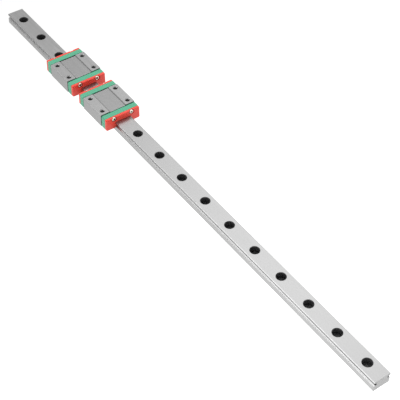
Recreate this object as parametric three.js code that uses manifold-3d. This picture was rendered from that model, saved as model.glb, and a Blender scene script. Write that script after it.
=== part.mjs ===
// Linear guide: one profiled steel rail with two recirculating-ball carriages.
// Millimetres, +Z up. Origin at the centre of the rail's bottom face, +X along the rail.
import * as THREE from 'three';
import * as BufferGeometryUtils from 'three/addons/utils/BufferGeometryUtils.js';
import Module from 'manifold-3d';

// ---- rail -------------------------------------------------------------------
const RAIL_L = 400;            // rail length
const RAIL_W = 12;             // rail width
const RAIL_H = 8;              // rail height
const HOLE_N = 16;             // mounting holes
const HOLE_PITCH = 25;         // hole spacing along the rail
const CBORE_D = 6;             // counterbore diameter
const CBORE_DEPTH = 4.5;       // counterbore depth
const THRU_D = 3.5;            // through hole diameter
const RAIL_TOP_CH = 0.3;       // chamfer on the long top edges
const RAIL_BOT_CH = 0.5;       // chamfer on the long bottom edges

// ---- ball track ---------------------------------------------------------------
const BALL_R = 1.19;           // ball radius
const TRACK_Z = 5.6;           // height of the ball row
const TRACK_Y = 6.10;          // loaded ball row, from the rail's centre plane
const RETURN_Y = 10.20;        // return ball row
const GROOVE_R = 1.25;         // groove radius, rail and block
const SLOT_HALF = 0.35;        // wire relief slot in the groove: half height
const SLOT_Y = 4.10;           // floor of the wire relief slot
const RETURN_R = 1.30;         // return bore radius
const TURN_R = (RETURN_Y - TRACK_Y) / 2;   // radius of the ball turn
const TURN_X = 11.20;          // centre of the ball turn, from the carriage centre
const TURN_TUBE = 1.36;        // channel radius in the end cap
const BALLS_PER_LOOP = 24;

// ---- carriage -------------------------------------------------------------------
const CAR_W = 27;              // carriage width
const CAR_TOP = 13;            // height of the mounting face above the rail base
const CAR_BOT = 3;             // gap below the carriage
const CAR_L = 34.7;            // length over the seals
const BLOCK_L = 21.7;          // steel block length
const BOLT_X = 15;             // tapped hole spacing along the rail
const BOLT_Y = 20;             // tapped hole spacing across the rail
const TAP_R = 1.25;            // tapping drill radius (M3)
const TAP_DEPTH = 3.5;
const REAR_X = -114.92;        // rear carriage centre at rest
const FRONT_X = -72.40;        // front carriage centre at rest
const END_SCREW_Y = 6.83;      // end cap screws
const END_SCREW_Z = 10.85;
const END_SCREW_LEN = 8;       // screw length under the head
const CAP_W = 13.25;           // end cap half width
const CAP_TOP = 12.55;         // end cap top, below the mounting face
const SEAL_W = 13.20;          // end seal half width
const SEAL_TOP = 12.50;
const END_BOT = 3.5;           // underside of the end pieces

const BLOCK_E = BLOCK_L / 2;
const CAP_X0 = BLOCK_E + 0.05; // end cap, inner face
const NECK_X = 11.45;          // end of the narrower neck of the end cap
const CAP_X1 = 15.50;          // end cap, outer face
const SEAL_X0 = 15.55;         // end seal, inner face
const SEAL_X1 = CAR_L / 2;     // end seal, outer face

const wasm = await Module();
wasm.setup();

// ---- helpers ----------------------------------------------------------------------
function toSolid(geometry) {
  let g = geometry.clone();
  g.deleteAttribute('normal');
  g.deleteAttribute('uv');
  g = BufferGeometryUtils.mergeVertices(g, 1e-4);
  const vertProperties = new Float32Array(g.attributes.position.array);
  const triVerts = new Uint32Array(g.index.array);
  return new wasm.Manifold(new wasm.Mesh({ numProp: 3, vertProperties, triVerts }));
}

function toGeometry(solid) {
  const m = solid.getMesh();
  const np = m.numProp;
  const n = m.vertProperties.length / np;
  const pos = new Float32Array(n * 3);
  for (let i = 0; i < n; i++) {
    for (let k = 0; k < 3; k++) pos[i * 3 + k] = m.vertProperties[i * np + k];
  }
  const g = new THREE.BufferGeometry();
  g.setAttribute('position', new THREE.BufferAttribute(pos, 3));
  g.setIndex(new THREE.BufferAttribute(new Uint32Array(m.triVerts), 1));
  g.computeVertexNormals();
  return g;
}

function union(geometries) {
  let s = toSolid(geometries[0]);
  for (let i = 1; i < geometries.length; i++) s = s.add(toSolid(geometries[i]));
  return s;
}

function cut(body, cutters) {
  let s = toSolid(body);
  for (const c of cutters) s = s.subtract(c.isBufferGeometry ? toSolid(c) : c);
  return toGeometry(s);
}

function outline(points) {
  const shape = new THREE.Shape();
  points.forEach(([u, v], i) => (i ? shape.lineTo(u, v) : shape.moveTo(u, v)));
  shape.closePath();
  return shape;
}

// a (y, z) outline drawn out along X
function prismX(points, x0, x1) {
  const g = new THREE.ExtrudeGeometry(outline(points), { depth: x1 - x0, bevelEnabled: false, steps: 1 });
  const m = new THREE.Matrix4().makeBasis(
    new THREE.Vector3(0, 1, 0), new THREE.Vector3(0, 0, 1), new THREE.Vector3(1, 0, 0));
  g.applyMatrix4(m);
  g.translate(x0, 0, 0);
  return g;
}

function box(x0, x1, y0, y1, z0, z1) {
  const g = new THREE.BoxGeometry(x1 - x0, y1 - y0, z1 - z0);
  g.translate((x0 + x1) / 2, (y0 + y1) / 2, (z0 + z1) / 2);
  return g;
}

function cylZ(r, x, y, z0, z1, seg, rTop = r) {
  const g = new THREE.CylinderGeometry(rTop, r, z1 - z0, seg, 1);
  g.rotateX(Math.PI / 2);
  g.translate(x, y, (z0 + z1) / 2);
  return g;
}

function cylX(r, y, z, x0, x1, seg) {
  const g = new THREE.CylinderGeometry(r, r, x1 - x0, seg, 1);
  g.rotateZ(-Math.PI / 2);
  g.translate((x0 + x1) / 2, y, z);
  return g;
}

// mirror a run of points given for +y (bottom to top) onto both sides
function bothSides(right) {
  return [...right, ...right.map(([y, z]) => [-y, z]).reverse()];
}

function arc(cy, cz, r, a0, a1, n) {
  const out = [];
  for (let i = 0; i <= n; i++) {
    const a = THREE.MathUtils.degToRad(a0 + ((a1 - a0) * i) / n);
    out.push([cy + r * Math.cos(a), cz + r * Math.sin(a)]);
  }
  return out;
}

const deg = (v, u) => THREE.MathUtils.radToDeg(Math.atan2(v, u));

const steel = { color: 0xb9b9b9, roughness: 0.38, metalness: 1.0 };
const green = { color: 0x4fa884, roughness: 0.5, metalness: 0.0 };
const red = { color: 0xc8382c, roughness: 0.5, metalness: 0.0 };
const zinc = { color: 0xc9b28a, roughness: 0.3, metalness: 1.0 };
const bearing = { color: 0xd8dadc, roughness: 0.12, metalness: 1.0 };
const black = { color: 0x2b2b2d, roughness: 0.55, metalness: 0.0 };

function part(name, geometry, look) {
  const mesh = new THREE.Mesh(geometry, new THREE.MeshStandardMaterial(look));
  mesh.name = name;
  return mesh;
}

// ---- rail ---------------------------------------------------------------------------
function railGeometry() {
  const h = RAIL_W / 2;
  const lip = 0.12;
  const yl = h - lip;
  const dz = Math.sqrt(GROOVE_R ** 2 - (TRACK_Y - yl) ** 2);
  const ys = TRACK_Y - Math.sqrt(GROOVE_R ** 2 - SLOT_HALF ** 2);
  const aLip = deg(-dz, yl - TRACK_Y) + 360;
  const aSlot = deg(-SLOT_HALF, ys - TRACK_Y) + 360;
  const side = [
    [h - RAIL_BOT_CH, 0],
    [h, RAIL_BOT_CH],
    [h, TRACK_Z - dz - lip],
    ...arc(TRACK_Y, TRACK_Z, GROOVE_R, aLip, aSlot, 4),
    [SLOT_Y, TRACK_Z - SLOT_HALF],
    [SLOT_Y, TRACK_Z + SLOT_HALF],
    ...arc(TRACK_Y, TRACK_Z, GROOVE_R, 360 - aSlot, 360 - aLip, 4),
    [h, TRACK_Z + dz + lip],
    [h, RAIL_H - RAIL_TOP_CH],
    [h - RAIL_TOP_CH, RAIL_H],
  ];
  const body = prismX(bothSides(side), -RAIL_L / 2, RAIL_L / 2);
  const cutters = [];
  for (let i = 0; i < HOLE_N; i++) {
    const x = (i - (HOLE_N - 1) / 2) * HOLE_PITCH;
    cutters.push(union([
      cylZ(THRU_D / 2, x, 0, -1, RAIL_H - 1, 14),
      cylZ(CBORE_D / 2, x, 0, RAIL_H - CBORE_DEPTH, RAIL_H + 1, 22),
    ]));
  }
  return cut(body, cutters);
}

// ---- carriage pieces (built about the carriage centre, at x = 0) -----------------------
const INNER_Y = 6.35;   // inner side walls of the block
const INNER_Z = 8.45;   // inner top of the block

function blockGeometry() {
  const w = CAR_W / 2;
  const dz = Math.sqrt(GROOVE_R ** 2 - (INNER_Y - TRACK_Y) ** 2);
  const a = deg(dz, INNER_Y - TRACK_Y);
  const side = [
    [INNER_Y - 0.5, INNER_Z],
    [INNER_Y, INNER_Z - 0.5],
    ...arc(TRACK_Y, TRACK_Z, GROOVE_R, a, -a, 9),
    [INNER_Y, CAR_BOT + 0.4],
    [INNER_Y + 0.4, CAR_BOT],
    [w - 0.75, CAR_BOT],
    [w, CAR_BOT + 0.75],
    [w, CAR_TOP - 0.45],
    [w - 0.13, CAR_TOP - 0.13],
    [w - 0.45, CAR_TOP],
    [6.5, CAR_TOP],
    [5.8, CAR_TOP - 0.5],
  ];
  const body = prismX(bothSides(side), -BLOCK_E, BLOCK_E);
  const cutters = [];
  for (const sy of [-1, 1]) {
    cutters.push(cylX(RETURN_R, sy * RETURN_Y, TRACK_Z, -BLOCK_E - 1, BLOCK_E + 1, 16));
    for (const sx of [-1, 1]) {
      const x = (sx * BOLT_X) / 2;
      const y = (sy * BOLT_Y) / 2;
      cutters.push(union([
        cylZ(TAP_R, x, y, CAR_TOP - TAP_DEPTH, CAR_TOP + 1, 14),
        cylZ(TAP_R - 0.05, x, y, CAR_TOP - 0.4, CAR_TOP + 0.02, 14, TAP_R + 0.45),
      ]));
      const x0 = sx * (SEAL_X1 - 0.95 - END_SCREW_LEN - 0.5);
      const x1 = sx * (BLOCK_E + 1);
      cutters.push(cylX(1.02, sy * END_SCREW_Y, END_SCREW_Z, Math.min(x0, x1), Math.max(x0, x1), 12));
    }
  }
  return cut(body, cutters);
}

function uProfile(w, z0, z1, rTop, cBot, yi, zi, ci) {
  return bothSides([
    [yi - ci, zi],
    [yi, zi - ci],
    [yi, z0],
    [w - cBot, z0],
    [w, z0 + cBot],
    ...arc(w - rTop, z1 - rTop, rTop, 0, 90, 3),
  ]);
}

function capGeometry() {
  const main = prismX(uProfile(CAP_W, END_BOT, CAP_TOP, 0.6, 0.55, 6.5, 8.65, 0.5), NECK_X, CAP_X1);
  const neck = prismX(uProfile(CAP_W - 0.65, END_BOT + 0.4, CAP_TOP - 0.55, 0.6, 0.5, 6.5, 8.65, 0.5), CAP_X0, NECK_X + 0.2);
  let s = union([main, neck]);
  for (const sy of [-1, 1]) {
    const turn = new THREE.TorusGeometry(TURN_R, TURN_TUBE, 9, 18);
    turn.translate(TURN_X, sy * (TRACK_Y + TURN_R), TRACK_Z);
    s = s.subtract(toSolid(turn));
    s = s.subtract(toSolid(cylZ(1.75, TURN_X, sy * (TRACK_Y + TURN_R), TRACK_Z - 1.6, TRACK_Z + 1.6, 16)));
    s = s.subtract(toSolid(cylX(1.05, sy * END_SCREW_Y, END_SCREW_Z, CAP_X0 - 1, CAP_X1 + 1, 12)));
    // slot for the leg of the ball wire
    const y0 = sy > 0 ? 5.5 : -7.6;
    s = s.subtract(toSolid(box(14.85, CAP_X1 + 1, y0, y0 + 2.1, TRACK_Z - 0.35, TRACK_Z + 0.35)));
  }
  return toGeometry(s);
}

function sealGeometry() {
  // the opening follows the rail section with a small running gap
  const g = 0.12;
  const h = RAIL_W / 2 + g;
  const r = GROOVE_R - g;
  const dz = Math.sqrt(r * r - (TRACK_Y - h) ** 2);
  const aLip = deg(-dz, h - TRACK_Y) + 360;
  const side = [
    [h - 0.3, RAIL_H + g],
    [h, RAIL_H + g - 0.3],
    ...arc(TRACK_Y, TRACK_Z, r, 360 - aLip, aLip, 7),
    [h, END_BOT],
    [SEAL_W - 0.55, END_BOT],
    [SEAL_W, END_BOT + 0.55],
    ...arc(SEAL_W - 0.7, SEAL_TOP - 0.7, 0.7, 0, 90, 3),
  ];
  const body = prismX(bothSides(side), SEAL_X0, SEAL_X1);
  const cutters = [];
  for (const sy of [-1, 1]) {
    cutters.push(cylX(1.1, sy * END_SCREW_Y, END_SCREW_Z, SEAL_X0 - 1, SEAL_X1, 12));
    cutters.push(cylX(2.05, sy * END_SCREW_Y, END_SCREW_Z, SEAL_X1 - 0.95, SEAL_X1 + 1, 18));
  }
  return cut(body, cutters);
}

// screw along +X: underside of the head at x = 0, thread towards -X
function screwGeometry() {
  const rHead = 1.55;
  const kHead = 0.9;
  const profile = [
    new THREE.Vector2(0, -END_SCREW_LEN),
    new THREE.Vector2(0.7, -END_SCREW_LEN),
    new THREE.Vector2(0.95, -END_SCREW_LEN + 0.35),
    new THREE.Vector2(0.95, 0.02),
    new THREE.Vector2(rHead, 0.02),
    new THREE.Vector2(rHead, 0.55),
    new THREE.Vector2(rHead - 0.35, kHead - 0.06),
    new THREE.Vector2(0, kHead),
  ];
  const g = new THREE.LatheGeometry(profile, 10);
  g.rotateZ(-Math.PI / 2);
  let s = toSolid(g);
  const recess = union([
    box(0.3, 2, -0.85, 0.85, -0.17, 0.17),
    box(0.3, 2, -0.17, 0.17, -0.85, 0.85),
  ]);
  s = s.subtract(recess);
  return toGeometry(s);
}

// half spool about Z: the inner side of a ball turn, flat towards the block
function guideGeometry() {
  const r = 1.32;
  const rf = 1.62;
  const dz = Math.sqrt(r * r - (TURN_R - rf) ** 2);
  const pts = [new THREE.Vector2(0, -1.5), new THREE.Vector2(rf, -1.5)];
  const a0 = Math.atan2(-dz, rf - TURN_R);
  const a1 = -2 * Math.PI - a0;
  for (let i = 0; i <= 5; i++) {
    const a = a0 + ((a1 - a0) * i) / 5;
    pts.push(new THREE.Vector2(TURN_R + r * Math.cos(a), r * Math.sin(a)));
  }
  pts.push(new THREE.Vector2(rf, 1.5), new THREE.Vector2(0, 1.5));
  const g = new THREE.LatheGeometry(pts, 12);
  g.rotateX(Math.PI / 2);
  return toGeometry(toSolid(g).intersect(toSolid(box(-0.25, 3, -3, 3, -3, 3))));
}

// one recirculating loop of balls, strung together so that it is a single solid
function circuitGeometry() {
  const straight = 2 * TURN_X;
  const bend = Math.PI * TURN_R;
  const total = 2 * (straight + bend);
  const at = (s) => {
    s = ((s % total) + total) % total;
    if (s < straight) return new THREE.Vector3(-TURN_X + s, -TURN_R, 0);
    s -= straight;
    if (s < bend) {
      const a = -Math.PI / 2 + s / TURN_R;
      return new THREE.Vector3(TURN_X + TURN_R * Math.cos(a), TURN_R * Math.sin(a), 0);
    }
    s -= bend;
    if (s < straight) return new THREE.Vector3(TURN_X - s, TURN_R, 0);
    s -= straight;
    const a = Math.PI / 2 + s / TURN_R;
    return new THREE.Vector3(-TURN_X + TURN_R * Math.cos(a), TURN_R * Math.sin(a), 0);
  };
  const up = new THREE.Vector3(0, 1, 0);
  let s = null;
  for (let i = 0; i < BALLS_PER_LOOP; i++) {
    const p = at((total * i) / BALLS_PER_LOOP);
    const q = at((total * (i + 1)) / BALLS_PER_LOOP);
    const dir = q.clone().sub(p);
    const aim = new THREE.Quaternion().setFromUnitVectors(up, dir.clone().normalize());
    const ball = new THREE.OctahedronGeometry(BALL_R, 1);
    ball.applyQuaternion(aim);
    ball.translate(p.x, p.y, p.z);
    const link = new THREE.CylinderGeometry(0.28, 0.28, dir.length(), 4, 1);
    link.applyQuaternion(aim);
    const mid = p.clone().add(q).multiplyScalar(0.5);
    link.translate(mid.x, mid.y, mid.z);
    const bead = toSolid(ball).add(toSolid(link));
    s = s ? s.add(bead) : bead;
  }
  return toGeometry(s);
}

// wire that holds the loaded balls in: long run in the rail's slot, legs into the end caps
function wireGeometry() {
  const r = 0.2;
  const xl = 15.17;
  const y0 = 4.55 - TRACK_Y;
  const y1 = 7.2 - TRACK_Y;
  const t = r;
  const pts = [
    [-xl - t, y1], [-xl - t, y0 - t], [xl + t, y0 - t], [xl + t, y1],
    [xl - t, y1], [xl - t, y0 + t], [-xl + t, y0 + t], [-xl + t, y1],
  ];
  const g = new THREE.ExtrudeGeometry(outline(pts), { depth: 2 * r, bevelEnabled: false, steps: 1 });
  g.translate(0, 0, -r);
  return toGeometry(toSolid(g));
}

const geo = {
  block: blockGeometry(),
  cap: capGeometry(),
  seal: sealGeometry(),
  screw: screwGeometry(),
  guide: guideGeometry(),
  circuit: circuitGeometry(),
  wire: wireGeometry(),
};

function carriage(prefix, x) {
  const group = new THREE.Group();
  group.position.x = x;
  group.add(part(`${prefix}_block`, geo.block, steel));
  // a: the end towards -X, b: the end towards +X; l: the -Y side, r: the +Y side
  for (const [end, sx] of [['a', -1], ['b', 1]]) {
    const turn = sx > 0 ? 0 : Math.PI;
    const cap = part(`${prefix}_end_cap_${end}`, geo.cap, green);
    cap.rotation.z = turn;
    const seal = part(`${prefix}_end_seal_${end}`, geo.seal, red);
    seal.rotation.z = turn;
    group.add(cap, seal);
    for (const [side, sy] of [['l', -1], ['r', 1]]) {
      const screw = part(`${prefix}_cap_screw_${end}_${side}`, geo.screw, zinc);
      screw.position.set(sx * (SEAL_X1 - 0.93), sy * END_SCREW_Y, END_SCREW_Z);
      screw.rotation.z = turn;
      const guide = part(`${prefix}_ball_guide_${end}_${side}`, geo.guide, black);
      guide.position.set(sx * TURN_X, sy * (TRACK_Y + TURN_R), TRACK_Z);
      guide.rotation.z = turn;
      group.add(screw, guide);
    }
  }
  for (const [side, sy] of [['l', -1], ['r', 1]]) {
    const balls = part(`${prefix}_ball_circuit_${side}`, geo.circuit, bearing);
    balls.position.set(0, sy * (TRACK_Y + TURN_R), TRACK_Z);
    const wire = part(`${prefix}_ball_wire_${side}`, geo.wire, bearing);
    wire.position.set(0, sy * TRACK_Y, TRACK_Z);
    wire.rotation.z = sy > 0 ? 0 : Math.PI;
    group.add(balls, wire);
  }
  return group;
}

const guideAssembly = new THREE.Group();
guideAssembly.name = 'linear_guide';
guideAssembly.add(part('rail', railGeometry(), steel));
guideAssembly.add(carriage('rear', REAR_X));
guideAssembly.add(carriage('front', FRONT_X));

export default guideAssembly;
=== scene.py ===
import math

import bmesh
import bpy
from mathutils import Matrix, Vector


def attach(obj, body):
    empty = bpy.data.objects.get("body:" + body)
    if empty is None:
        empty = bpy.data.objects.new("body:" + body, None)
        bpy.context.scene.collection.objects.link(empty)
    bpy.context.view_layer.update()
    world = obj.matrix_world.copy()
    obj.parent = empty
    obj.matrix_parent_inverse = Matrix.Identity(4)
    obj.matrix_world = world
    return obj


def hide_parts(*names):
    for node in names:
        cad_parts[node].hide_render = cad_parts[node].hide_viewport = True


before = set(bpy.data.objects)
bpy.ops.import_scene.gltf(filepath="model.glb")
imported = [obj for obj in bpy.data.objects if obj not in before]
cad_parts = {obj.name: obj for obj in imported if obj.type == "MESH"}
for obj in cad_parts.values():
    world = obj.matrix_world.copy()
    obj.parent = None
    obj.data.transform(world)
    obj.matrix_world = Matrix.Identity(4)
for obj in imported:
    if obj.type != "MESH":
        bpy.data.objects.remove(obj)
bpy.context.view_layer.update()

# Shapes are built in millimetres about the carriage centre or the rail's middle, then
# scaled to metres and put in place, so every object keeps its place in its mesh.

# ---- sizes, as in the CAD model (mm) -------------------------------------------------
RAIL_L, RAIL_W, RAIL_H = 400.0, 12.0, 8.0
HOLE_N, HOLE_PITCH = 16, 25.0
TRACK_Y, TRACK_Z, RETURN_Y = 6.10, 5.60, 10.20
GROOVE_R = 1.25
TURN_R = (RETURN_Y - TRACK_Y) / 2
TURN_X = 11.20
BALL_R = 1.19
BLOCK_E = 10.85
INNER_Y, INNER_Z = 6.35, 8.45
CAR_W, CAR_TOP, CAR_BOT = 13.5, 13.0, 3.0
CAP_X0, NECK_X, CAP_X1 = 10.90, 11.45, 15.50
CAP_W, CAP_TOP = 13.25, 12.55
SEAL_W, SEAL_TOP, END_BOT = 13.20, 12.50, 3.5
SEAL_X0, SEAL_X1 = 15.55, 17.35
SCREW_Y, SCREW_Z, SCREW_LEN = 6.83, 10.85, 8.0
CARRIAGES = (("rear", -114.92), ("front", -72.40))

# ---- camera ----------------------------------------------------------------------------
cam_data = bpy.data.cameras.new("camera")
cam_data.sensor_fit = "HORIZONTAL"
cam_data.sensor_width = 36.0
cam_data.lens = 100.647
cam_data.clip_start = 0.01
cam_data.clip_end = 60.0
cam = bpy.data.objects.new("camera", cam_data)
right = Vector((0.58837859, 0.80817815, 0.02566549)).normalized()
forward = Vector((-0.55397163, 0.42602358, -0.71527571)).normalized()
up = right.cross(forward).normalized()
right = forward.cross(up).normalized()
cam.matrix_world = Matrix(
    (
        (right.x, up.x, -forward.x, 0.419998),
        (right.y, up.y, -forward.y, -0.298275),
        (right.z, up.z, -forward.z, 0.504957),
        (0, 0, 0, 1),
    )
)
bpy.context.scene.collection.objects.link(cam)
bpy.context.scene.camera = cam

view = bpy.context.scene.view_settings
view.view_transform = "Standard"
view.look = "None"
view.exposure = 0.0
view.gamma = 1.0


# ---- node helpers ----------------------------------------------------------------------
class Nodes:
    """A short way to wire a node tree."""

    def __init__(self, tree):
        self.tree = tree

    def add(self, kind, **inputs):
        node = self.tree.nodes.new(kind)
        for key, value in inputs.items():
            if key in ("operation", "blend_type", "data_type", "interpolation_type", "noise_dimensions", "feature", "distance_metric", "wave_type", "bands_direction", "rings_direction", "wave_profile", "clamp", "normalize", "use_clamp"):
                setattr(node, key, value)
        for key, value in inputs.items():
            if key.startswith("in_"):
                self.put(node.inputs[int(key[3:])], value)
        return node

    def put(self, socket, value):
        if isinstance(value, bpy.types.NodeSocket):
            self.tree.links.new(value, socket)
        elif isinstance(value, bpy.types.Node):
            self.tree.links.new(value.outputs[0], socket)
        else:
            socket.default_value = value

    def math(self, operation, a, b=0.0, c=0.0, clamp=False):
        node = self.add("ShaderNodeMath", operation=operation, in_0=a, in_1=b)
        if len(node.inputs) > 2:
            self.put(node.inputs[2], c)
        node.use_clamp = clamp
        return node.outputs[0]

    def object_coords(self):
        return self.add("ShaderNodeTexCoord").outputs["Object"]

    def noise(self, coords, scale, detail=3.0, rough=0.55, distortion=0.0):
        """Noise stretched by scale = (x, y, z), in repeats per metre."""
        m = self.add("ShaderNodeMapping")
        self.put(m.inputs["Vector"], coords)
        m.inputs["Scale"].default_value = scale
        n = self.add("ShaderNodeTexNoise")
        self.put(n.inputs["Vector"], m.outputs[0])
        n.inputs["Scale"].default_value = 1.0
        n.inputs["Detail"].default_value = detail
        n.inputs["Roughness"].default_value = rough
        n.inputs["Distortion"].default_value = distortion
        return n.outputs[0]

    def remap(self, value, a0, a1, b0, b1, smooth=False):
        m = self.add("ShaderNodeMapRange")
        m.interpolation_type = "SMOOTHSTEP" if smooth else "LINEAR"
        m.clamp = True
        self.put(m.inputs[0], value)
        for i, v in enumerate((a0, a1, b0, b1)):
            self.put(m.inputs[i + 1], v)
        return m.outputs[0]

    def ramp(self, value, stops):
        r = self.add("ShaderNodeValToRGB")
        self.put(r.inputs[0], value)
        e = r.color_ramp.elements
        e[0].position, e[0].color = stops[0][0], (*stops[0][1], 1)
        e[1].position, e[1].color = stops[-1][0], (*stops[-1][1], 1)
        for pos, col in stops[1:-1]:
            s = e.new(pos)
            s.color = (*col, 1)
        return r.outputs[0]

    def bump(self, height, strength, distance, under=None):
        b = self.add("ShaderNodeBump")
        b.inputs["Strength"].default_value = strength
        b.inputs["Distance"].default_value = distance
        self.put(b.inputs["Height"], height)
        if under is not None:
            self.put(b.inputs["Normal"], under)
        return b.outputs[0]


def blank(name):
    mat = bpy.data.materials.new(name)
    mat.use_nodes = True
    tree = mat.node_tree
    tree.nodes.clear()
    out = tree.nodes.new("ShaderNodeOutputMaterial")
    bsdf = tree.nodes.new("ShaderNodeBsdfPrincipled")
    tree.links.new(bsdf.outputs[0], out.inputs[0])
    return mat, Nodes(tree), bsdf


# ---- materials --------------------------------------------------------------------------
def ground_steel(name, dark, light, rough, lay="X", line=1.0, tint=(1.0, 1.0, 1.0)):
    """Ground steel: fine grinding lines along lay, a faint mottle and a soft sheen."""
    mat, n, b = blank(name)
    p = n.object_coords()
    if lay == "X":
        fine, broad, spot = (55, 3100, 3100), (16, 620, 620), (150, 420, 420)
    elif lay == "Y":
        fine, broad, spot = (3100, 55, 3100), (620, 16, 620), (420, 150, 420)
    else:
        fine, broad, spot = (3100, 3100, 55), (620, 620, 16), (420, 420, 150)
    lines = n.noise(p, fine, 4.0, 0.6)
    streaks = n.noise(p, broad, 3.0, 0.55)
    mottle = n.noise(p, spot, 4.0, 0.6)
    grain = n.noise(p, (2600, 2600, 2600), 2.0, 0.5)
    mix = n.math("ADD", n.math("MULTIPLY", lines, 0.30 * line), n.math("MULTIPLY", streaks, 0.30 * line))
    mix = n.math("ADD", mix, n.math("MULTIPLY", mottle, 0.30))
    mix = n.math("ADD", mix, n.math("MULTIPLY", grain, 0.10))
    top = 0.40 + 0.60 * line
    mix = n.remap(mix, 0.30 * top, 0.70 * top, 0.0, 1.0)
    lo = tuple(dark * t for t in tint)
    hi = tuple(light * t for t in tint)
    n.put(b.inputs["Base Color"], n.ramp(mix, [(0.0, lo), (1.0, hi)]))
    n.put(b.inputs["Roughness"], n.remap(n.math("ADD", n.math("MULTIPLY", streaks, 0.5), n.math("MULTIPLY", mottle, 0.5)), 0.33, 0.67, rough - 0.035, rough + 0.035))
    b.inputs["Metallic"].default_value = 1.0
    h = n.math("ADD", n.math("MULTIPLY", lines, 0.8 * line), n.math("MULTIPLY", grain, 0.2))
    n.put(b.inputs["Normal"], n.bump(h, 0.28, 0.000006))
    return mat


def hole_oxide(name):
    """Dark unground surface inside the screw pockets."""
    mat, n, b = blank(name)
    p = n.object_coords()
    a = n.noise(p, (900, 900, 900), 4.0, 0.6)
    c = n.noise(p, (3800, 3800, 3800), 2.0, 0.5)
    mix = n.math("ADD", n.math("MULTIPLY", a, 0.7), n.math("MULTIPLY", c, 0.3))
    n.put(b.inputs["Base Color"], n.ramp(mix, [(0.35, (0.012, 0.012, 0.013)), (0.65, (0.040, 0.040, 0.041))]))
    n.put(b.inputs["Roughness"], n.remap(a, 0.35, 0.65, 0.48, 0.66))
    b.inputs["Metallic"].default_value = 0.0
    b.inputs["Specular IOR Level"].default_value = 0.35
    n.put(b.inputs["Normal"], n.bump(mix, 0.5, 0.00003))
    return mat


def moulded(name, dark, light, rough, pit=0.00002):
    """Injection-moulded plastic: faint flow marks and a fine spark-eroded skin."""
    mat, n, b = blank(name)
    p = n.object_coords()
    flow = n.noise(p, (120, 160, 200), 3.0, 0.5, 0.6)
    skin = n.noise(p, (5200, 5200, 5200), 3.0, 0.6)
    patch = n.noise(p, (700, 700, 700), 2.0, 0.5)
    mix = n.math("ADD", n.math("MULTIPLY", flow, 0.6), n.math("MULTIPLY", patch, 0.25))
    mix = n.math("ADD", mix, n.math("MULTIPLY", skin, 0.15))
    n.put(b.inputs["Base Color"], n.ramp(mix, [(0.33, dark), (0.67, light)]))
    n.put(b.inputs["Roughness"], n.remap(patch, 0.35, 0.65, rough - 0.04, rough + 0.05))
    b.inputs["IOR"].default_value = 1.5
    n.put(b.inputs["Normal"], n.bump(n.math("ADD", n.math("MULTIPLY", skin, 0.7), n.math("MULTIPLY", patch, 0.3)), 0.55, pit))
    return mat


def plated(name):
    """Plated screw: warm white metal with fine turning marks."""
    mat, n, b = blank(name)
    p = n.object_coords()
    a = n.noise(p, (2200, 2200, 2200), 3.0, 0.6)
    c = n.noise(p, (260, 5200, 5200), 2.0, 0.5)
    mix = n.math("ADD", n.math("MULTIPLY", a, 0.6), n.math("MULTIPLY", c, 0.4))
    n.put(b.inputs["Base Color"], n.ramp(mix, [(0.35, (0.66, 0.60, 0.50)), (0.65, (0.84, 0.78, 0.67))]))
    n.put(b.inputs["Roughness"], n.remap(a, 0.35, 0.65, 0.20, 0.32))
    b.inputs["Metallic"].default_value = 1.0
    n.put(b.inputs["Normal"], n.bump(c, 0.4, 0.000006))
    return mat


def bearing_steel(name):
    """Polished steel of the balls and wires, with a faint used haze."""
    mat, n, b = blank(name)
    p = n.object_coords()
    a = n.noise(p, (1500, 1500, 1500), 4.0, 0.6)
    c = n.noise(p, (6000, 6000, 6000), 2.0, 0.5)
    n.put(b.inputs["Base Color"], n.ramp(a, [(0.35, (0.60, 0.61, 0.62)), (0.65, (0.72, 0.72, 0.73))]))
    n.put(b.inputs["Roughness"], n.remap(a, 0.35, 0.65, 0.07, 0.15))
    b.inputs["Metallic"].default_value = 1.0
    n.put(b.inputs["Normal"], n.bump(c, 0.2, 0.000002))
    return mat


RAIL_STEEL = ground_steel("rail_ground_steel", 0.315, 0.355, 0.32)
RAIL_END = ground_steel("rail_sawn_end_steel", 0.265, 0.305, 0.42, lay="Y")
# the relief slot steel is near-black as painted shade: it darkens the line in the rail's side groove where shade
# falls
PAINTED_SHADE_RELIEF_SLOT = ground_steel("rail_relief_slot_painted_shade", 0.034, 0.055, 0.45)
BLOCK_STEEL = ground_steel("block_ground_steel", 0.302, 0.337, 0.35)
BLOCK_MILLED = ground_steel("block_milled_relief_steel", 0.262, 0.292, 0.40)
# the sloped shoulders of the block's top recess get a dark steel as painted shade, a dark line where shade falls at
# the recess edge
PAINTED_SHADE_SHOULDER = ground_steel("block_recess_shoulder_painted_shade", 0.130, 0.165, 0.45)
# darker steel inside the tapped holes and the cap screw bores
THREAD_DARK_STEEL = ground_steel("thread_dark_steel", 0.035, 0.065, 0.38, line=0.5)
OXIDE = hole_oxide("hole_black_scale")
GREEN = moulded("cap_green_plastic", (0.053, 0.288, 0.169), (0.061, 0.316, 0.187), 0.42, 0.000010)
RED = moulded("seal_red_plastic", (0.620, 0.038, 0.020), (0.680, 0.050, 0.030), 0.40, 0.000010)
GUIDE = moulded("guide_dark_plastic", (0.028, 0.029, 0.031), (0.040, 0.041, 0.044), 0.45)
PLATED = plated("screw_plated_steel")
# the screw's cross recess gets a dark, warm steel as painted shade, darkening the recess where shade falls
PAINTED_SHADE_SCREW_CROSS = ground_steel("screw_cross_painted_shade_steel", 0.045, 0.075, 0.45, line=0.4, tint=(1.0, 0.86, 0.70))
BEARING = bearing_steel("bearing_polished_steel")


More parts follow.
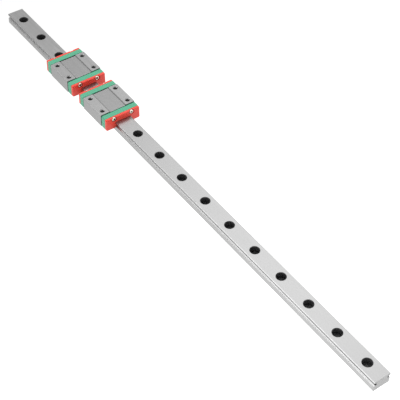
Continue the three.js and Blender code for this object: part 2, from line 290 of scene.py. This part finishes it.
# ---- outline helpers (all outlines run anticlockwise in (y, z)) ------------------------------
def arc(cy, cz, r, a0, a1, n):
    return [
        (cy + r * math.cos(math.radians(a0 + (a1 - a0) * i / n)), cz + r * math.sin(math.radians(a0 + (a1 - a0) * i / n)), 0.0)
        for i in range(n + 1)
    ]


def both_sides(right_side):
    """A run of (y, z, corner radius) given for +y, mirrored onto -y."""
    pts = [(p[0], p[1], p[2] if len(p) > 2 else 0.0) for p in right_side]
    return pts + [(-y, z, r) for y, z, r in reversed(pts)]


def soften(points, steps=4):
    """Rounds each corner of an outline by its radius."""
    out = []
    n = len(points)
    for i in range(n):
        a, p, b = Vector(points[i - 1][:2]), Vector(points[i][:2]), Vector(points[(i + 1) % n][:2])
        r = points[i][2]
        u, v = a - p, b - p
        lu, lv = u.length, v.length
        if r <= 0 or lu < 1e-6 or lv < 1e-6:
            out.append(p)
            continue
        u.normalize(), v.normalize()
        angle = math.acos(max(-1.0, min(1.0, u.dot(v))))
        if angle > math.radians(176):
            out.append(p)
            continue
        t = min(r / math.tan(angle / 2), 0.46 * lu, 0.46 * lv)
        r = t * math.tan(angle / 2)
        centre = p + (u + v).normalized() * (r / math.sin(angle / 2))
        s, e = p + u * t - centre, p + v * t - centre
        a0 = math.atan2(s.y, s.x)
        sweep = math.atan2(e.y, e.x) - a0
        sweep = (sweep + math.pi) % (2 * math.pi) - math.pi
        for k in range(steps + 1):
            w = a0 + sweep * k / steps
            out.append(centre + Vector((r * math.cos(w), r * math.sin(w))))
    return out


def inset(points, d, keep=None):
    """Moves an outline inwards by d. keep(p) gives each point's share of it."""
    out = []
    n = len(points)
    for i in range(n):
        a, p, b = points[i - 1], points[i], points[(i + 1) % n]
        e1, e2 = (p - a).normalized(), (b - p).normalized()
        n1, n2 = Vector((-e1.y, e1.x)), Vector((-e2.y, e2.x))
        m = n1 + n2
        k = max(m.dot(n1), 0.4)
        out.append(p + m * (d * (1.0 if keep is None else keep(p)) / k))
    return out


# ---- mesh helpers ---------------------------------------------------------------------------
def new_object(name, bm, materials):
    mesh = bpy.data.meshes.new(name)
    bm.to_mesh(mesh)
    bm.free()
    for m in materials:
        mesh.materials.append(m)
    obj = bpy.data.objects.new(name, mesh)
    bpy.context.scene.collection.objects.link(obj)
    return obj


def loft_x(bm, rings, closed_ends=True):
    """rings: (x, outline) pairs with the same number of points."""
    rows = [[bm.verts.new((x, p.x, p.y)) for p in pts] for x, pts in rings]
    n = len(rows[0])
    for a, b in zip(rows, rows[1:]):
        for i in range(n):
            j = (i + 1) % n
            bm.faces.new((a[i], a[j], b[j], b[i]))
    if closed_ends:
        bm.faces.new(list(reversed(rows[0])))
        bm.faces.new(rows[-1])
    bmesh.ops.recalc_face_normals(bm, faces=bm.faces[:])


def lathe(bm, profile, seg, place=Matrix.Identity(4), mats=None):
    """Turns (radius, height) pairs about Z. The profile starts and ends on the axis."""
    rows = []
    for r, h in profile:
        if r < 1e-9:
            rows.append([bm.verts.new(place @ Vector((0, 0, h)))])
        else:
            rows.append([bm.verts.new(place @ Vector((r * math.cos(2 * math.pi * k / seg), r * math.sin(2 * math.pi * k / seg), h))) for k in range(seg)])
    made = []
    for i, (a, b) in enumerate(zip(rows, rows[1:])):
        for k in range(seg):
            j = (k + 1) % seg
            if len(a) == 1:
                f = bm.faces.new((a[0], b[j], b[k]))
            elif len(b) == 1:
                f = bm.faces.new((a[k], a[j], b[0]))
            else:
                f = bm.faces.new((a[k], a[j], b[j], b[k]))
            if mats:
                f.material_index = mats[i]
            made.append(f)
    bmesh.ops.recalc_face_normals(bm, faces=made)
    return made


def sweep(bm, path, radius, sides):
    """A round bar along a path in one plane, with domed ends."""
    n = len(path)
    rows = []
    up_dir = Vector((0, 0, 1))
    for i, p in enumerate(path):
        d = (path[min(i + 1, n - 1)] - path[max(i - 1, 0)]).normalized()
        s = d.cross(up_dir).normalized()
        rows.append((p, s))
    rings = []

    def ring(p, s, r):
        return [bm.verts.new(p + s * (r * math.cos(2 * math.pi * k / sides)) + up_dir * (r * math.sin(2 * math.pi * k / sides))) for k in range(sides)]

    d0 = (path[1] - path[0]).normalized()
    d1 = (path[-1] - path[-2]).normalized()
    tip0 = bm.verts.new(path[0])
    for a in (70, 35):
        w = math.radians(a)
        rings.append(ring(path[0] + d0 * (radius * (1 - math.sin(w))), rows[0][1], radius * math.cos(w)))
    for i in range(n):
        p = path[i]
        if i == 0:
            p = path[0] + d0 * radius
        if i == n - 1:
            p = path[-1] - d1 * radius
        rings.append(ring(p, rows[i][1], radius))
    for a in (35, 70):
        w = math.radians(a)
        rings.append(ring(path[-1] - d1 * (radius * (1 - math.sin(w))), rows[-1][1], radius * math.cos(w)))
    tip1 = bm.verts.new(path[-1])
    for a, b in zip(rings, rings[1:]):
        for k in range(sides):
            j = (k + 1) % sides
            bm.faces.new((a[k], a[j], b[j], b[k]))
    for k in range(sides):
        j = (k + 1) % sides
        bm.faces.new((tip0, rings[0][j], rings[0][k]))
        bm.faces.new((tip1, rings[-1][k], rings[-1][j]))
    bmesh.ops.recalc_face_normals(bm, faces=bm.faces[:])


def torus(bm, centre, R, r, n_major, n_minor):
    rows = []
    for i in range(n_major):
        a = 2 * math.pi * (i + 0.37) / n_major
        rows.append([
            bm.verts.new(centre + Vector(((R + r * math.cos(w)) * math.cos(a), (R + r * math.cos(w)) * math.sin(a), r * math.sin(w))))
            for w in (2 * math.pi * (k + 0.29) / n_minor for k in range(n_minor))
        ])
    for i in range(n_major):
        a, b = rows[i], rows[(i + 1) % n_major]
        for k in range(n_minor):
            j = (k + 1) % n_minor
            bm.faces.new((a[k], a[j], b[j], b[k]))
    bmesh.ops.recalc_face_normals(bm, faces=bm.faces[:])


def block_shape(bm, lo, hi):
    r = bmesh.ops.create_cube(bm, size=1.0)
    for v in r["verts"]:
        v.co = Vector([lo[k] + (v.co[k] + 0.5) * (hi[k] - lo[k]) for k in range(3)])


ALONG_X = Matrix.Rotation(math.radians(90), 4, "Y")


def at(x, y, z, turn=Matrix.Identity(4)):
    return Matrix.Translation((x, y, z)) @ turn


def applied(obj):
    dg = bpy.context.evaluated_depsgraph_get()
    dg.update()
    mesh = bpy.data.meshes.new_from_object(obj.evaluated_get(dg), preserve_all_data_layers=True, depsgraph=dg)
    old = obj.data
    obj.modifiers.clear()
    obj.data = mesh
    bpy.data.meshes.remove(old)
    return obj


def carve(obj, cutters):
    for c in cutters:
        m = obj.modifiers.new("cut", "BOOLEAN")
        m.operation = "DIFFERENCE"
        m.solver = "MANIFOLD"
        m.material_mode = "INDEX"
        m.object = c
        applied(obj)
    for c in cutters:
        mesh = c.data
        bpy.data.objects.remove(c)
        bpy.data.meshes.remove(mesh)
    return obj


def tidy(obj, merge=1e-4):
    bm = bmesh.new()
    bm.from_mesh(obj.data)
    bmesh.ops.remove_doubles(bm, verts=bm.verts[:], dist=merge)
    bmesh.ops.dissolve_degenerate(bm, edges=bm.edges[:], dist=merge)
    if all(e.is_manifold for e in bm.edges):
        bm.to_mesh(obj.data)
    bm.free()
    return obj


def shade(obj, angle=32.0):
    mesh = obj.data
    mesh.shade_smooth()
    mesh.set_sharp_from_angle(angle=math.radians(angle))
    m = obj.modifiers.new("normals", "WEIGHTED_NORMAL")
    m.keep_sharp = True
    m.weight = 80
    m.mode = "FACE_AREA_WITH_ANGLE"
    return applied(obj)


def place(source, name, node, body, slot, x=0.0, y=0.0, z=0.0, turned=False):
    """A copy of a finished shape, in metres, at its place, riding on its body for its CAD node."""
    mesh = source.data.copy()
    mesh.name = name
    move = Matrix.Translation((x * 0.001, y * 0.001, z * 0.001))
    if turned:
        move = move @ Matrix.Rotation(math.pi, 4, "Z")
    mesh.transform(move @ Matrix.Scale(0.001, 4))
    obj = bpy.data.objects.new(name, mesh)
    bpy.context.scene.collection.objects.link(obj)
    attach(obj, body)
    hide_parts(node)
    return obj


def drop(obj):
    mesh = obj.data
    bpy.data.objects.remove(obj)
    bpy.data.meshes.remove(mesh)


# ---- rail -----------------------------------------------------------------------------------
def rail_outline():
    h = RAIL_W / 2
    lip = 0.12
    yl = h - lip
    dz = math.sqrt(GROOVE_R**2 - (TRACK_Y - yl) ** 2)
    slot = 0.70
    ys = TRACK_Y - math.sqrt(GROOVE_R**2 - slot**2)
    a_lip = math.degrees(math.atan2(-dz, yl - TRACK_Y)) + 360
    a_slot = math.degrees(math.atan2(-slot, ys - TRACK_Y)) + 360
    side = [
        (h - 0.5, 0.0, 0.10),
        (h, 0.5, 0.10),
        (h, TRACK_Z - dz - lip, 0.05),
        *arc(TRACK_Y, TRACK_Z, GROOVE_R, a_lip, a_slot, 12),
        (4.10, TRACK_Z - slot, 0.06),
        (4.10, TRACK_Z + slot, 0.06),
        *arc(TRACK_Y, TRACK_Z, GROOVE_R, 360 - a_slot, 360 - a_lip, 12),
        (h, TRACK_Z + dz + lip, 0.05),
        (h, RAIL_H - 0.30, 0.07),
        (h - 0.30, RAIL_H, 0.07),
    ]
    return soften(both_sides(side), 3)


def make_rail():
    outline = rail_outline()
    e = RAIL_L / 2
    rings = []
    for x, d in ((-e, 0.16), (-e + 0.05, 0.055), (-e + 0.16, 0.0)):
        rings.append((x, inset(outline, d)))
    for k in range(1, 16):
        rings.append((-e + k * RAIL_L / 16, outline))
    for x, d in ((e - 0.16, 0.0), (e - 0.05, 0.055), (e, 0.16)):
        rings.append((x, inset(outline, d)))
    bm = bmesh.new()
    loft_x(bm, rings)
    for f in bm.faces:
        c = f.calc_center_median()
        if abs(f.normal.x) > 0.95:
            f.material_index = 2
        # the relief slot faces get the near-black painted-shade steel
        elif 4.0 < abs(c.y) < 5.06 and abs(c.z - TRACK_Z) < 0.72:
            f.material_index = 3
    mats = [RAIL_STEEL, OXIDE, RAIL_END, PAINTED_SHADE_RELIEF_SLOT]
    rail = new_object("rail_shape", bm, mats)
    cb = bmesh.new()
    rim = 0.36
    profile = [
        (0, -0.5), (2.50, -0.5), (1.75, 0.25), (1.75, 3.40), (1.85, 3.50),
        (2.94, 3.50), (3.00, 3.56), (3.00, 8.0 - rim), (3.00 + rim * 0.35, 8.0 - rim * 0.45), (3.00 + rim, 8.0), (3.00 + rim + 0.28, 8.2), (0, 8.2),
    ]
    cut_mats = [0, 0, 1, 1, 1, 1, 1, 1, 1, 1, 1]
    for i in range(HOLE_N):
        x = (i - (HOLE_N - 1) / 2) * HOLE_PITCH
        lathe(cb, profile, 72, at(x, 0, 0), cut_mats)
    cutter = new_object("rail_cutter", cb, mats)
    carve(rail, [cutter])
    tidy(rail)
    shade(rail)
    place(rail, "rail_ground_bar", "rail", "rail", "rail_steel")
    drop(rail)


# ---- steel block ------------------------------------------------------------------------------
def make_block():
    w = CAR_W
    dz = math.sqrt(GROOVE_R**2 - (INNER_Y - TRACK_Y) ** 2)
    a = math.degrees(math.atan2(dz, INNER_Y - TRACK_Y))
    side = [
        (INNER_Y - 0.5, INNER_Z, 0.10),
        (INNER_Y, INNER_Z - 0.5, 0.10),
        *arc(TRACK_Y, TRACK_Z, GROOVE_R, a, -a, 24),
        (INNER_Y, CAR_BOT + 0.4, 0.10),
        (INNER_Y + 0.4, CAR_BOT, 0.10),
        (w - 0.75, CAR_BOT, 0.15),
        (w, CAR_BOT + 0.75, 0.15),
        (w, CAR_TOP - 0.45, 0.20),
        (w - 0.13, CAR_TOP - 0.13, 0.18),
        (w - 0.45, CAR_TOP, 0.20),
        (6.5, CAR_TOP, 0.10),
        (5.8, CAR_TOP - 0.5, 0.15),
    ]
    outline = soften(both_sides(side), 4)
    e = BLOCK_E
    rings = [(x, inset(outline, d)) for x, d in ((-e, 0.22), (-e + 0.20, 0.02), (-e + 0.26, 0.0), (-e + 0.6, 0.0), (-4, 0.0), (4, 0.0), (e - 0.6, 0.0), (e - 0.26, 0.0), (e - 0.20, 0.02), (e, 0.22))]
    bm = bmesh.new()
    loft_x(bm, rings)
    for f in bm.faces:
        c = f.calc_center_median()
        if f.normal.z > 0.95 and abs(c.y) < 5.8 and c.z > 12:
            f.material_index = 2
        # the recess shoulder faces get the dark painted-shade steel
        elif 5.7 < abs(c.y) < 6.55 and 12.4 < c.z < 12.99:
            f.material_index = 3
    mats = [BLOCK_STEEL, THREAD_DARK_STEEL, BLOCK_MILLED, PAINTED_SHADE_SHOULDER]
    block = new_object("block_shape", bm, mats)
    taps = bmesh.new()
    for sx in (-1, 1):
        for sy in (-1, 1):
            prof = [(0, 8.75), (1.25, 9.5)]
            pm = [1, 1]
            z = 9.62
            while z < 12.15:
                prof += [(1.25, z), (1.46, z + 0.20), (1.46, z + 0.25), (1.25, z + 0.45)]
                pm += [1, 1, 1, 1]
                z += 0.5
            prof += [(1.25, 12.45), (1.80, 13.0), (1.90, 13.1), (0, 13.1)]
            pm += [2, 1, 1, 1]
            lathe(taps, prof, 40, at(sx * 7.5, sy * 10, 0), pm[: len(prof) - 1])
    bores = bmesh.new()
    for sy in (-1, 1):
        lathe(bores, [(0, -12), (1.69, -12), (1.69, -10.99), (1.30, -10.60), (1.30, 10.60), (1.69, 10.99), (1.69, 12), (0, 12)], 40, at(0, sy * RETURN_Y, TRACK_Z, ALONG_X), [0] * 7)
        for sx in (-1, 1):
            lathe(bores, [(0, -1.45), (1.02, -0.87), (1.02, 1.43), (1.31, 1.72), (1.31, 2.6), (0, 2.6)], 32, at(sx * 9.25, sy * SCREW_Y, SCREW_Z, ALONG_X if sx > 0 else Matrix.Rotation(math.radians(-90), 4, "Y")), [1] * 5)
    carve(block, [new_object("tap_cutter", taps, mats), new_object("bore_cutter", bores, mats)])
    tidy(block)
    return shade(block)


# ---- green end cap ---------------------------------------------------------------------------
def cap_outline(w, z0, z1, r_top, c_bot):
    side = [
        (6.5 - 0.5, 8.65, 0.15),
        (6.5, 8.15, 0.15),
        (6.5, z0, 0.20),
        (w - c_bot, z0, 0.25),
        (w, z0 + c_bot, 0.25),
        (w, z1, r_top),
    ]
    return soften(both_sides(side), 8)


def make_cap():
    neck = cap_outline(CAP_W - 0.65, END_BOT + 0.4, CAP_TOP - 0.55, 0.6, 0.5)
    main = cap_outline(CAP_W, END_BOT, CAP_TOP, 0.6, 0.55)
    outer = lambda p: 1.0 if (abs(p.x) > 7.5 or p.y > 9.5 or p.y < 4.5) else 0.5
    rings = [
        (CAP_X0, inset(neck, 0.10, outer)),
        (CAP_X0 + 0.10, neck),
        (CAP_X0 + 0.45, neck),
        (NECK_X - 0.15, neck),
        (NECK_X - 0.03, inset(neck, -0.06, lambda p: 1.0 if outer(p) == 1.0 else 0.0)),
        (NECK_X, inset(neck, -0.15, lambda p: 1.0 if outer(p) == 1.0 else 0.0)),
        (NECK_X, inset(main, 0.22, outer)),
        (NECK_X + 0.05, inset(main, 0.10, outer)),
        (NECK_X + 0.12, inset(main, 0.03, outer)),
        (NECK_X + 0.22, main),
        (NECK_X + 0.60, main),
        (CAP_X1 - 0.5, main),
        (CAP_X1 - 0.20, main),
        (CAP_X1 - 0.08, inset(main, 0.04, outer)),
        (CAP_X1, inset(main, 0.14, outer)),
    ]
    bm = bmesh.new()
    loft_x(bm, rings)
    cap = new_object("cap_shape", bm, [GREEN])
    cutters = []
    for sy in (-1, 1):
        t = bmesh.new()
        torus(t, Vector((TURN_X, sy * (TRACK_Y + TURN_R), TRACK_Z)), TURN_R, 1.36, 48, 20)
        cutters.append(new_object("turn_cutter", t, [GREEN]))
        c = bmesh.new()
        lathe(c, [(0, -1.6), (1.75, -1.6), (1.75, 1.6), (0, 1.6)], 48, at(TURN_X, sy * (TRACK_Y + TURN_R), TRACK_Z))
        cutters.append(new_object("guide_cutter", c, [GREEN]))
        h = bmesh.new()
        lathe(h, [(0, -3.5), (1.05, -3.5), (1.05, 3.5), (0, 3.5)], 36, at(13.2, sy * SCREW_Y, SCREW_Z, ALONG_X))
        y0 = 5.5 if sy > 0 else -7.6
        block_shape(h, (14.85, y0, TRACK_Z - 0.35), (CAP_X1 + 1, y0 + 2.1, TRACK_Z + 0.35))
        cutters.append(new_object("hole_cutter", h, [GREEN]))
    carve(cap, cutters)
    tidy(cap)
    return shade(cap)


# ---- red end seal ------------------------------------------------------------------------------
def make_seal():
    g = 0.12
    h = RAIL_W / 2 + g
    r = GROOVE_R - g
    dz = math.sqrt(r * r - (TRACK_Y - h) ** 2)
    a_lip = math.degrees(math.atan2(-dz, h - TRACK_Y)) + 360
    side = [
        (h - 0.3, RAIL_H + g, 0.05),
        (h, RAIL_H + g - 0.3, 0.05),
        *arc(TRACK_Y, TRACK_Z, r, 360 - a_lip, a_lip, 20),
        (h, END_BOT, 0.12),
        (SEAL_W - 0.55, END_BOT, 0.25),
        (SEAL_W, END_BOT + 0.55, 0.25),
        (SEAL_W, SEAL_TOP, 0.7),
    ]
    outline = soften(both_sides(side), 8)

    def outer(p):
        near = abs(p.x) < 6.6 and p.y < 8.4
        if near:
            return 0.12
        return 1.0 if p.y > 5.0 else 0.30

    x0, x1 = SEAL_X0, SEAL_X1
    rings = [
        (x0, inset(outline, 0.14, outer)),
        (x0 + 0.07, inset(outline, 0.04, outer)),
        (x0 + 0.16, outline),
        (x0 + 0.45, outline),
        (x1 - 0.60, outline),
        (x1 - 0.42, outline),
        (x1 - 0.34, inset(outline, 0.025, outer)),
        (x1 - 0.10, inset(outline, 0.26, outer)),
        (x1 - 0.03, inset(outline, 0.36, outer)),
        (x1, inset(outline, 0.48, outer)),
    ]
    bm = bmesh.new()
    loft_x(bm, rings)
    seal = new_object("seal_shape", bm, [RED])
    c = bmesh.new()
    for sy in (-1, 1):
        turn = ALONG_X
        lathe(c, [(0, -1.2), (1.10, -1.2), (1.10, x1 - 0.95 - x0), (1.98, x1 - 0.95 - x0), (2.05, x1 - 0.88 - x0), (2.05, x1 - 0.10 - x0), (2.15, x1 - x0), (2.25, x1 - x0 + 0.1), (2.25, x1 - x0 + 0.5), (0, x1 - x0 + 0.5)], 56, at(x0, sy * SCREW_Y, SCREW_Z, turn))
    carve(seal, [new_object("pocket_cutter", c, [RED])])
    tidy(seal)
    return shade(seal)


# ---- cap screw ------------------------------------------------------------------------------------
def make_screw():
    k = 0.90
    prof = [(0, -SCREW_LEN), (0.55, -SCREW_LEN), (0.72, -SCREW_LEN + 0.12)]
    x = -SCREW_LEN + 0.30
    while x < -1.0:
        prof += [(0.76, x), (0.94, x + 0.16), (0.94, x + 0.21), (0.76, x + 0.37)]
        x += 0.40
    prof += [(0.80, -0.80), (0.80, -0.12), (0.95, 0.02), (1.45, 0.02), (1.53, 0.07), (1.55, 0.16), (1.55, 0.38), (1.52, 0.50), (1.44, 0.62), (1.30, 0.73), (1.08, 0.81), (0.80, 0.865), (0.40, 0.892), (0, k)]
    bm = bmesh.new()
    lathe(bm, prof, 48, ALONG_X)
    screw = new_object("screw_shape", bm, [PLATED, PAINTED_SHADE_SCREW_CROSS])
    cross = []
    for turn in (0, 90):
        c = bmesh.new()
        res = bmesh.ops.create_cube(c, size=1.0)
        for v in res["verts"]:
            top = v.co.x > 0
            half_l = 1.00 if top else 0.50
            half_w = 0.29 if top else 0.17
            xx = 1.05 if top else 0.22
            v.co = Vector((xx, math.copysign(half_l, v.co.y), math.copysign(half_w, v.co.z)))
        # the cross recess faces get the dark painted-shade steel
        for f in c.faces:
            f.material_index = 1
        c.transform(Matrix.Rotation(math.radians(turn + 20), 4, "X"))
        cross.append(new_object("cross_cutter", c, [PLATED, PAINTED_SHADE_SCREW_CROSS]))
    carve(screw, cross)
    tidy(screw)
    return shade(screw, 35)


# ---- ball guide: half spool -------------------------------------------------------------------------
def make_guide():
    r, rf = 1.32, 1.62
    dz = math.sqrt(r * r - (TURN_R - rf) ** 2)
    a0 = math.atan2(-dz, rf - TURN_R)
    a1 = -2 * math.pi - a0
    prof = [(0, -1.5), (rf - 0.08, -1.5), (rf, -1.42)]
    for i in range(17):
        a = a0 + (a1 - a0) * i / 16
        prof.append((TURN_R + r * math.cos(a), r * math.sin(a)))
    prof += [(rf, 1.42), (rf - 0.08, 1.5), (0, 1.5)]
    bm = bmesh.new()
    lathe(bm, prof, 56)
    geom = bm.verts[:] + bm.edges[:] + bm.faces[:]
    bmesh.ops.bisect_plane(bm, geom=geom, plane_co=(-0.25, 0, 0), plane_no=(-1, 0, 0), clear_outer=True)
    edges = [e for e in bm.edges if e.is_boundary]
    bmesh.ops.contextual_create(bm, geom=edges)
    bmesh.ops.recalc_face_normals(bm, faces=bm.faces[:])
    return shade(new_object("guide_shape", bm, [GUIDE]))


# ---- balls ---------------------------------------------------------------------------------------------
def make_circuit():
    straight = 2 * TURN_X
    bend = math.pi * TURN_R
    total = 2 * (straight + bend)

    def point(s):
        s %= total
        if s < straight:
            return Vector((-TURN_X + s, -TURN_R, 0))
        s -= straight
        if s < bend:
            a = -math.pi / 2 + s / TURN_R
            return Vector((TURN_X + TURN_R * math.cos(a), TURN_R * math.sin(a), 0))
        s -= bend
        if s < straight:
            return Vector((TURN_X - s, TURN_R, 0))
        s -= straight
        a = math.pi / 2 + s / TURN_R
        return Vector((-TURN_X + TURN_R * math.cos(a), TURN_R * math.sin(a), 0))

    bm = bmesh.new()
    for i in range(24):
        bmesh.ops.create_icosphere(bm, subdivisions=3, radius=BALL_R, matrix=Matrix.Translation(point(total * i / 24)) @ Matrix.Rotation(0.7 * i, 4, Vector((0.3, 0.5, 0.8)).normalized()))
    obj = new_object("circuit_shape", bm, [BEARING])
    obj.data.shade_smooth()
    return obj


# ---- ball wire -------------------------------------------------------------------------------------------
def make_wire():
    x, y0, y1, bend = 15.17, 4.55 - TRACK_Y, 7.2 - TRACK_Y, 0.55
    path = [Vector((-x, y1, 0)), Vector((-x, (y1 + y0) / 2 + 0.3, 0)), Vector((-x, y0 + bend, 0))]
    for k in range(1, 9):
        a = math.pi + (math.pi / 2) * k / 8
        path.append(Vector((-x + bend + bend * math.cos(a), y0 + bend + bend * math.sin(a), 0)))
    for k in range(1, 8):
        path.append(Vector((-x + bend + (2 * x - 2 * bend) * k / 8, y0, 0)))
    for k in range(0, 9):
        a = -math.pi / 2 + (math.pi / 2) * k / 8
        path.append(Vector((x - bend + bend * math.cos(a), y0 + bend + bend * math.sin(a), 0)))
    path += [Vector((x, (y1 + y0) / 2 + 0.3, 0)), Vector((x, y1, 0))]
    bm = bmesh.new()
    sweep(bm, path, 0.2, 16)
    return shade(new_object("wire_shape", bm, [BEARING]), 50)


# ---- build everything ---------------------------------------------------------------------------------------
make_rail()
block = make_block()
cap = make_cap()
seal = make_seal()
screw = make_screw()
guide = make_guide()
circuit = make_circuit()
wire = make_wire()
for prefix, cx in CARRIAGES:
    body = prefix + "_carriage"
    place(block, prefix + "_block_ground", prefix + "_block", body, "block_steel", x=cx)
    for end, sx in (("a", -1), ("b", 1)):
        turned = sx < 0
        place(cap, f"{prefix}_end_cap_{end}_moulding", f"{prefix}_end_cap_{end}", body, "cap_green", x=cx, turned=turned)
        place(seal, f"{prefix}_end_seal_{end}_moulding", f"{prefix}_end_seal_{end}", body, "seal_red", x=cx, turned=turned)
        for side, sy in (("l", -1), ("r", 1)):
            place(screw, f"{prefix}_cap_screw_{end}_{side}_pan_head", f"{prefix}_cap_screw_{end}_{side}", body, "screw_plated",
                  x=cx + sx * (SEAL_X1 - 0.93), y=sy * SCREW_Y, z=SCREW_Z, turned=turned)
            place(guide, f"{prefix}_ball_guide_{end}_{side}_spool", f"{prefix}_ball_guide_{end}_{side}", body, "guide_plastic",
                  x=cx + sx * TURN_X, y=sy * (TRACK_Y + TURN_R), z=TRACK_Z, turned=turned)
    for side, sy in (("l", -1), ("r", 1)):
        place(circuit, f"{prefix}_ball_circuit_{side}_balls", f"{prefix}_ball_circuit_{side}", body, "bearing_steel",
              x=cx, y=sy * (TRACK_Y + TURN_R), z=TRACK_Z)
        place(wire, f"{prefix}_ball_wire_{side}_bent", f"{prefix}_ball_wire_{side}", body, "bearing_steel",
              x=cx, y=sy * TRACK_Y, z=TRACK_Z, turned=sy < 0)
for shape in (block, cap, seal, screw, guide, circuit, wire):
    drop(shape)


# ---- floor, sky and lights --------------------------------------------------------------------------------
def make_floor():
    bm = bmesh.new()
    bmesh.ops.create_grid(bm, x_segments=8, y_segments=8, size=6.0)
    for v in bm.verts:
        v.co.z = -0.0002
    mat = bpy.data.materials.new("studio_floor_white")
    mat.use_nodes = True
    mat.node_tree.nodes.clear()
    n = Nodes(mat.node_tree)
    out = n.add("ShaderNodeOutputMaterial")
    e = n.add("ShaderNodeEmission")
    e.inputs[0].default_value = (1, 1, 1, 1)
    p = n.object_coords()
    s = n.add("ShaderNodeSeparateXYZ")
    n.put(s.inputs[0], p)
    glow = n.remap(s.outputs[0], FLOOR[0], FLOOR[1], FLOOR[2], FLOOR[3], smooth=True)
    n.put(e.inputs[1], glow)
    n.put(out.inputs[0], e.outputs[0])
    floor = new_object("studio_floor", bm, [mat])


def make_sky():
    world = bpy.data.worlds.new("studio")
    bpy.context.scene.world = world
    world.use_nodes = True
    world.node_tree.nodes.clear()
    n = Nodes(world.node_tree)
    out = n.add("ShaderNodeOutputWorld")
    bg = n.add("ShaderNodeBackground")
    bg.inputs[0].default_value = (1, 1, 1, 1)
    d = n.add("ShaderNodeTexCoord").outputs["Generated"]
    s = n.add("ShaderNodeSeparateXYZ")
    n.put(s.inputs[0], d)
    # dimmer away from the key side, brighter overhead and towards +X
    sweep = n.ramp(n.math("MULTIPLY_ADD", s.outputs[0], 0.5, 0.5), [((x + 1) / 2, (v / 3, v / 3, v / 3)) for x, v in SKY["sweep"]])
    total = n.math("MULTIPLY", sweep, 3.0)
    # and a dim band low on the -Y side
    side = n.remap(s.outputs[1], -0.60, -0.15, 1.0, 0.0, smooth=True)
    low = n.remap(s.outputs[2], 0.45, 0.80, 1.0, 0.0, smooth=True)
    shade_by = n.math("SUBTRACT", 1.0, n.math("MULTIPLY", n.math("MULTIPLY", side, low), 1.0 - SKY["dark_side"]))
    total = n.math("MULTIPLY", total, shade_by)
    for direction, inner, outer, extra in SKY["patches"]:
        v = Vector(direction).normalized()
        dot = n.add("ShaderNodeVectorMath")
        dot.operation = "DOT_PRODUCT"
        n.put(dot.inputs[0], d)
        dot.inputs[1].default_value = v
        part = n.remap(dot.outputs["Value"], math.cos(math.radians(outer)), math.cos(math.radians(inner)), 0.0, extra, smooth=True)
        total = n.math("ADD", total, part)
    n.put(bg.inputs[1], total)
    n.put(out.inputs[0], bg.outputs[0])


def softbox(name, direction, distance, w, h, radiance):
    light = bpy.data.lights.new(name, "AREA")
    light.shape = "RECTANGLE"
    light.size, light.size_y = w, h
    light.energy = radiance * math.pi * w * h
    obj = bpy.data.objects.new(name, light)
    d = Vector(direction).normalized()
    obj.matrix_world = Matrix.Translation(d * distance) @ d.to_track_quat("Z", "Y").to_matrix().to_4x4()
    bpy.context.scene.collection.objects.link(obj)
    return obj


FLOOR = (-0.24, 0.22, 1.00, 1.70)
SKY = {
    # brightness against the x of the direction: dim far side, bright overhead, softer near side
    "sweep": [
        (-1.0, 0.54), (-0.728, 0.61), (-0.700, 0.65), (-0.678, 0.76), (-0.647, 1.12), (-0.609, 1.76), (-0.587, 2.10),
        (-0.563, 2.44), (-0.511, 2.60), (-0.420, 2.42), (-0.360, 1.90), (-0.250, 1.55), (0.0, 1.25), (1.0, 1.15),
    ],
    "dark_side": 0.45,
    "patches": [
        ((-0.40, -0.80, 0.45), 5.0, 18.0, 3.4),
        ((-0.20, -0.35, 0.91), 8.0, 26.0, 1.9),
    ],
}
make_floor()
make_sky()
softbox("key_softbox", (-0.30, 0.35, 0.90), 4.0, 1.2, 1.2, 0.25)
